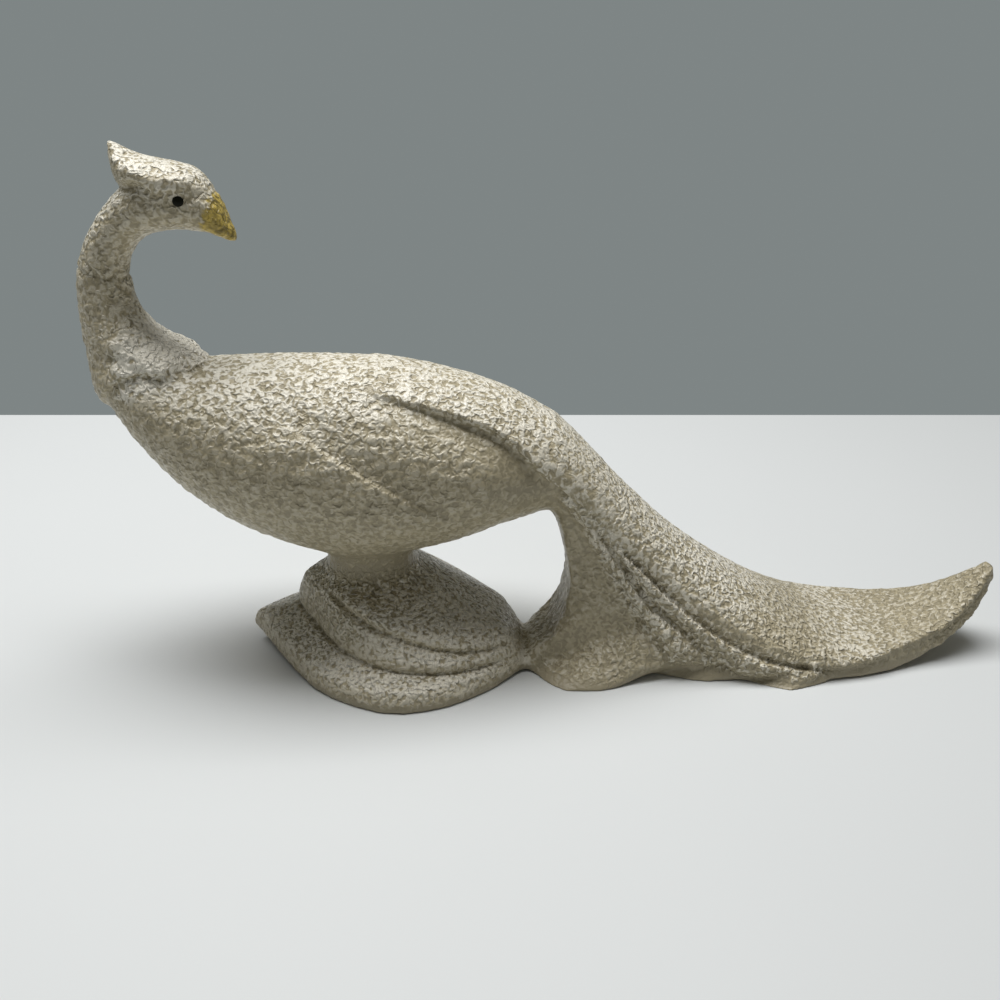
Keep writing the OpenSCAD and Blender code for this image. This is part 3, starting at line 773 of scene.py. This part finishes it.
def ranged(add, value, start, end, interpolation="SMOOTHSTEP"):
    """Value that goes from 0 at the start to 1 at the end of a range."""
    return add(
        "ShaderNodeMapRange", {"interpolation_type": interpolation}, Value=value,
        **{"From Min": start, "From Max": end}).outputs[0]


def floor_material(settings):
    """Matt pale floor with faint clouds."""
    material, add, shade = new_material("floor")
    cloud = cloudy(add, object_place(add), FLOOR_CLOUDS, detail=2.0)
    shade("Base Color", mixed(add, cloud, *shades(settings.floor, FLOOR_SHADES)))
    shade("Roughness", FLOOR_ROUGHNESS)
    return material


def spattered(settings, add, place):
    """Nodes of the spattered glaze: its colour, roughness and normal."""
    lumps, cover, thick, wiped, relief, coarse = (
        add("ShaderNodeAttribute", {"attribute_name": name}).outputs["Fac"]
        for name in ("lumps", "cover", "thick", "wiped", "relief", "coarse"))
    fine, broad = (
        cloudy(add, place, scale / settings.spatter, distortion=distortion)
        for scale, distortion in (FINE_WORMS, BROAD_WORMS))
    worms = add("ShaderNodeMix", i0=coarse, i2=fine, i3=broad).outputs[0]
    blots = cloudy(add, place, BLOTS / settings.spatter)
    drops = reckoned(add, "MULTIPLY_ADD", blots, BLOT_SHARE, worms)
    level = drops
    # The cover brings painted light and shade into the level of the spatter
    for source, share in ((lumps, LUMP_SHARE), (cover, COVER_SHARE), (wiped, WIPED_SHARE)):
        level = reckoned(add, "MULTIPLY_ADD", source, share, level)
    white = ranged(add, level, *WHITE_LEVELS)
    cloud = cloudy(add, place, SAND_CLOUDS, detail=3.0)
    sand = mixed(add, cloud, *shades(settings.sand, SAND_SHADES))
    # Painted shade in the gaps: the base glaze is darkest midway between the drops
    gap_shade = ranged(add, level, *GAP_SHADE_LEVELS)
    sand = mixed(add, gap_shade, sand, shaded(settings.sand, GAP_SHADE))
    # The white's thickness, with painted light and shade in it, sets how much of the white shows
    glaze = mixed(add, reckoned(add, "MULTIPLY", white, thick), sand, tuple(settings.white))
    colour = mixed(add, wiped, glaze, tuple(settings.bare))
    dull, bright = GLAZE_ROUGHNESS
    rough = add("ShaderNodeMapRange", Value=white, **{"To Min": dull, "To Max": bright}).outputs[0]
    # Measured from their middle height, so that the relief fades without a step
    centred = reckoned(add, "SUBTRACT", drops, MIDDLE_LEVEL)
    height = reckoned(add, "MULTIPLY", centred, relief)
    normal = add(
        "ShaderNodeBump", Height=height, Strength=1.0, Distance=settings.spatter_height).outputs["Normal"]
    return colour, rough, normal


def glaze_material(settings):
    """White glaze spattered over a sandy one, shared by the glazed pieces."""
    material = bpy.data.materials.get("spattered_glaze")
    if material:
        return material
    material, add, shade = new_material("spattered_glaze")
    colour, rough, normal = spattered(settings, add, object_place(add))
    shade("Base Color", colour)
    shade("Roughness", rough)
    shade("Normal", normal)
    return material


def gilt_material(settings):
    """Mottled gilt paint over the glaze, with a ragged brushed edge where it meets the cheeks."""
    material, add, shade = new_material("gilt_paint")
    place = object_place(add)
    glaze, rough, normal = spattered(settings, add, place)
    mottle = cloudy(add, place, GILT_MOTTLES, detail=1.0)
    patch = ranged(add, mottle, *GILT_TURNS, interpolation="LINEAR")
    paint = mixed(add, patch, *shades(settings.gilt, GILT_SHADES))
    root, way = BEAK_ROOT
    forward = way.normalized()
    along = add("ShaderNodeVectorMath", {"operation": "DOT_PRODUCT"}, i0=place, i1=tuple(forward))
    ragged = reckoned(add, "MULTIPLY_ADD", mottle, GILT_RAGGED * MM, along.outputs["Value"])
    begins, ends = (root.dot(forward) * MM + edge * MM for edge in GILT_EDGE)
    shade("Base Color", mixed(add, ranged(add, ragged, begins, ends), glaze, paint))
    shade("Roughness", rough)
    shade("Normal", normal)
    return material


def enamel_material(settings):
    """Black enamel with faint clouds."""
    material, add, shade = new_material("black_enamel")
    cloud = cloudy(add, object_place(add), ENAMEL_CLOUDS, detail=2.0)
    lighter = shaded(settings.enamel, ENAMEL_LIGHTER)
    shade("Base Color", mixed(add, cloud, tuple(settings.enamel), lighter))
    shade("Roughness", ENAMEL_ROUGHNESS)
    shade("Specular IOR Level", ENAMEL_SPECULAR)
    return material


class PEACOCK_OT_blank(bpy.types.Operator):
    """Run one coat of glaze over all the castings and sprigs"""

    bl_idname = "peacock.blank"
    bl_label = "Coat the castings"

    def execute(self, context):
        settings = context.scene.peacock_glaze
        bm = merged(COATED)
        # A plug in the vent keeps the coat out of the hollow
        bmesh.ops.create_cone(
            bm, cap_ends=True, segments=32, radius1=PLUG_RADIUS * MM, radius2=PLUG_RADIUS * MM,
            depth=PLUG_LENGTH * MM, matrix=Matrix.Translation(Vector((*STEM_AT, PLUG_Z)) * MM))
        blank = new_object(BLANK, bm)
        coat = blank.modifiers.new("coat", "REMESH")
        coat.mode = "VOXEL"
        coat.voxel_size = settings.grain
        apply_modifiers(blank)

        bm = bmesh.new()
        bm.from_mesh(blank.data)
        largest_part(bm)
        soft = bm.verts.layers.deform.verify()
        upper_ribs = node_tree(UPPER_RIBS)
        lower_ribs = node_tree(LOWER_RIBS)
        raw = []
        for vert in bm.verts:
            place = vert.co / MM
            groove = 0
            if place.x > 0:
                groove = between_ribs(reach(upper_ribs, vert.co), reach(lower_ribs, vert.co))
            vert[soft][0] = max(fillet_share(place), GROOVE_SOFTENED * groove)
            vert[soft][1] = even_share(place)
            raw.append(vert.co.copy())
        bm.to_mesh(blank.data)
        bm.free()
        # In the order of the weights above
        for name in ("joints", "even"):
            blank.vertex_groups.new(name=name)
        add_smooth(blank, "even", settings.evening)
        add_smooth(blank, "joints", settings.fillet)
        apply_modifiers(blank)
        blank.vertex_groups.clear()
        dress_coat(blank, raw, settings)
        return {"FINISHED"}


class PEACOCK_OT_body(bpy.types.Operator):
    """Make the body with the top of its stem"""

    bl_idname = "peacock.body"
    bl_label = "Body"

    def execute(self, context):
        cut_piece(
            "body",
            [((RUMP_X, 0, 0), (1, 0, 0), at_rump), ((0, 0, STEM_Z), (0, 0, -1), None), (*HACKLE, None)],
            ["body_shell"], glaze_material(context.scene.peacock_glaze))
        return {"FINISHED"}


class PEACOCK_OT_foot(bpy.types.Operator):
    """Make the foot of three leaves with the root of its stem"""

    bl_idname = "peacock.foot"
    bl_label = "Foot"

    def execute(self, context):
        cut_piece(
            "foot", [((0, 0, STEM_Z), (0, 0, 1), None), ((WAIST_X, 0, 0), (1, 0, 0), None)],
            [*FOOT_LEAVES, "stem"], glaze_material(context.scene.peacock_glaze))
        return {"FINISHED"}


class PEACOCK_OT_tail(bpy.types.Operator):
    """Make the tail with its train leaf and ribs"""

    bl_idname = "peacock.tail"
    bl_label = "Tail"

    def execute(self, context):
        cut_piece(
            "tail", [((RUMP_X, 0, 0), (-1, 0, 0), at_rump), ((WAIST_X, 0, 0), (-1, 0, 0), at_waist)],
            ["tail_shell", "train_leaf", *RIBS], glaze_material(context.scene.peacock_glaze))
        return {"FINISHED"}


class PEACOCK_OT_neck(bpy.types.Operator):
    """Make the lower neck with its hackle"""

    bl_idname = "peacock.neck"
    bl_label = "Neck"

    def execute(self, context):
        cut_piece(
            "neck", [(*flipped(HACKLE), None), (*NECK_RING, None)],
            ["neck_shell"], glaze_material(context.scene.peacock_glaze))
        return {"FINISHED"}


class PEACOCK_OT_head(bpy.types.Operator):
    """Make the head with its crest"""

    bl_idname = "peacock.head"
    bl_label = "Head"

    def execute(self, context):
        cut_piece(
            "head", [(*flipped(NECK_RING), None), (*BEAK_ROOT, None)],
            ["head_shell", "crest"], glaze_material(context.scene.peacock_glaze))
        return {"FINISHED"}


class PEACOCK_OT_beak(bpy.types.Operator):
    """Make the gilt beak"""

    bl_idname = "peacock.beak"
    bl_label = "Beak"

    def execute(self, context):
        cut_piece(
            "gilt_beak", [(*flipped(NECK_RING), None), (*flipped(BEAK_ROOT), None)],
            ["beak"], gilt_material(context.scene.peacock_glaze))
        return {"FINISHED"}


class PEACOCK_OT_eyes(bpy.types.Operator):
    """Make the two drops of enamel and clear the blank away"""

    bl_idname = "peacock.eyes"
    bl_label = "Eyes"

    def execute(self, context):
        settings = context.scene.peacock_glaze
        material = enamel_material(settings)
        blank = bpy.data.objects[BLANK]
        bm = bmesh.new()
        bm.from_mesh(blank.data)
        coat = BVHTree.FromBMesh(bm)
        bm.free()
        for side in SIDES:
            # A flattened drop that sits in the coat where the CAD's eye is
            seat, outward, _, _ = coat.find_nearest(middle(f"{side}_eye"))
            turn = outward.to_track_quat("Z", "Y").to_matrix().to_4x4()
            bm = bmesh.new()
            bmesh.ops.create_uvsphere(
                bm, u_segments=32, v_segments=16, radius=settings.eye / 2,
                matrix=Matrix.Translation(seat) @ turn @ Matrix.Diagonal((1, 1, EYE_THICKNESS, 1)))
            for face in bm.faces:
                face.smooth = True
            obj = new_object(f"{side}_enamel_eye", bm)
            obj.data.materials.append(material)
            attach(obj, "root")
            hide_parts(f"{side}_eye")
        bpy.data.objects.remove(blank)
        return {"FINISHED"}


def lay_floor(settings):
    """Lays the floor, which ends a little behind the figure."""
    bm = bmesh.new()
    bmesh.ops.create_grid(
        bm, x_segments=1, y_segments=1, size=FLOOR_HALF,
        matrix=Matrix.Translation((0, FLOOR_BACK - FLOOR_HALF, 0)))
    floor = new_object("floor", bm)
    floor.data.materials.append(floor_material(settings))


def hang_lamp(scene, settings):
    """Hangs one wide lamp overhead."""
    lamp = bpy.data.lights.new("overhead", "AREA")
    lamp.shape = "RECTANGLE"
    lamp.size, lamp.size_y = LAMP_SIZE
    lamp.energy = settings.lamp
    hung = bpy.data.objects.new("overhead", lamp)
    hung.location = LAMP_AT
    scene.collection.objects.link(hung)


def light_all_round(scene, settings):
    """Gives even light all round, and the backdrop to the camera and to reflections."""
    world = bpy.data.worlds.new("studio")
    world.use_nodes = True
    tree = world.node_tree
    light = tree.nodes["Background"]
    light.inputs["Color"].default_value = FILL_COLOUR
    light.inputs["Strength"].default_value = settings.fill
    backdrop = tree.nodes.new("ShaderNodeBackground")
    backdrop.inputs["Color"].default_value = settings.backdrop
    rays = tree.nodes.new("ShaderNodeLightPath")
    shown = rays.outputs["Is Camera Ray"]
    for kind in ("Is Glossy Ray", "Is Transmission Ray"):
        either = tree.nodes.new("ShaderNodeMath")
        either.operation = "MAXIMUM"
        tree.links.new(shown, either.inputs[0])
        tree.links.new(rays.outputs[kind], either.inputs[1])
        shown = either.outputs[0]
    seen = tree.nodes.new("ShaderNodeMixShader")
    tree.links.new(shown, seen.inputs["Fac"])
    tree.links.new(light.outputs[0], seen.inputs[1])
    tree.links.new(backdrop.outputs[0], seen.inputs[2])
    tree.links.new(seen.outputs[0], tree.nodes["World Output"].inputs["Surface"])
    scene.world = world


def place_camera(scene, settings):
    """Places the camera at the photograph's viewing angle."""
    lens = bpy.data.cameras.new("view")
    lens.lens = LENS
    lens.sensor_width = SENSOR
    lens.clip_start = CAMERA_NEAR
    camera = bpy.data.objects.new("view", lens)
    camera.location = CAMERA_AT
    camera.rotation_euler = (math.radians(90) - settings.camera_pitch, 0, 0)
    scene.collection.objects.link(camera)
    scene.camera = camera


class PEACOCK_OT_stage(bpy.types.Operator):
    """Set the floor, the light and the camera"""

    bl_idname = "peacock.stage"
    bl_label = "Stage"

    def execute(self, context):
        scene = context.scene
        settings = scene.peacock_stage
        lay_floor(settings)
        hang_lamp(scene, settings)
        light_all_round(scene, settings)
        place_camera(scene, settings)
        scene.view_settings.view_transform = "Standard"
        return {"FINISHED"}


class PEACOCK_PT_panel(bpy.types.Panel):
    """Settings and steps of the figurine"""

    bl_idname = "PEACOCK_PT_panel"
    bl_label = "Peacock figurine"
    bl_space_type = "VIEW_3D"
    bl_region_type = "UI"
    bl_category = "Peacock"

    def draw(self, context):
        for settings in (context.scene.peacock_glaze, context.scene.peacock_stage):
            box = self.layout.box()
            for name in type(settings).__annotations__:
                box.prop(settings, name)
        for step in STEPS:
            self.layout.operator(step.bl_idname)


STEPS = (
    PEACOCK_OT_blank, PEACOCK_OT_body, PEACOCK_OT_foot, PEACOCK_OT_tail, PEACOCK_OT_neck, PEACOCK_OT_head,
    PEACOCK_OT_beak, PEACOCK_OT_eyes, PEACOCK_OT_stage,
)
CLASSES = (GlazeSettings, StageSettings, *STEPS, PEACOCK_PT_panel)


def register():
    """Registers the classes and gives every scene the settings."""
    for item in CLASSES:
        bpy.utils.register_class(item)
    bpy.types.Scene.peacock_glaze = PointerProperty(type=GlazeSettings)
    bpy.types.Scene.peacock_stage = PointerProperty(type=StageSettings)


def unregister():
    """Takes the settings and the classes away again."""
    del bpy.types.Scene.peacock_stage
    del bpy.types.Scene.peacock_glaze
    for item in reversed(CLASSES):
        bpy.utils.unregister_class(item)


def main():
    """Builds the figurine and its stage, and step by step."""
    register()
    for step in STEPS:
        group, name = step.bl_idname.split(".")
        getattr(getattr(bpy.ops, group), name)()


if __name__ == "__main__":
    main()
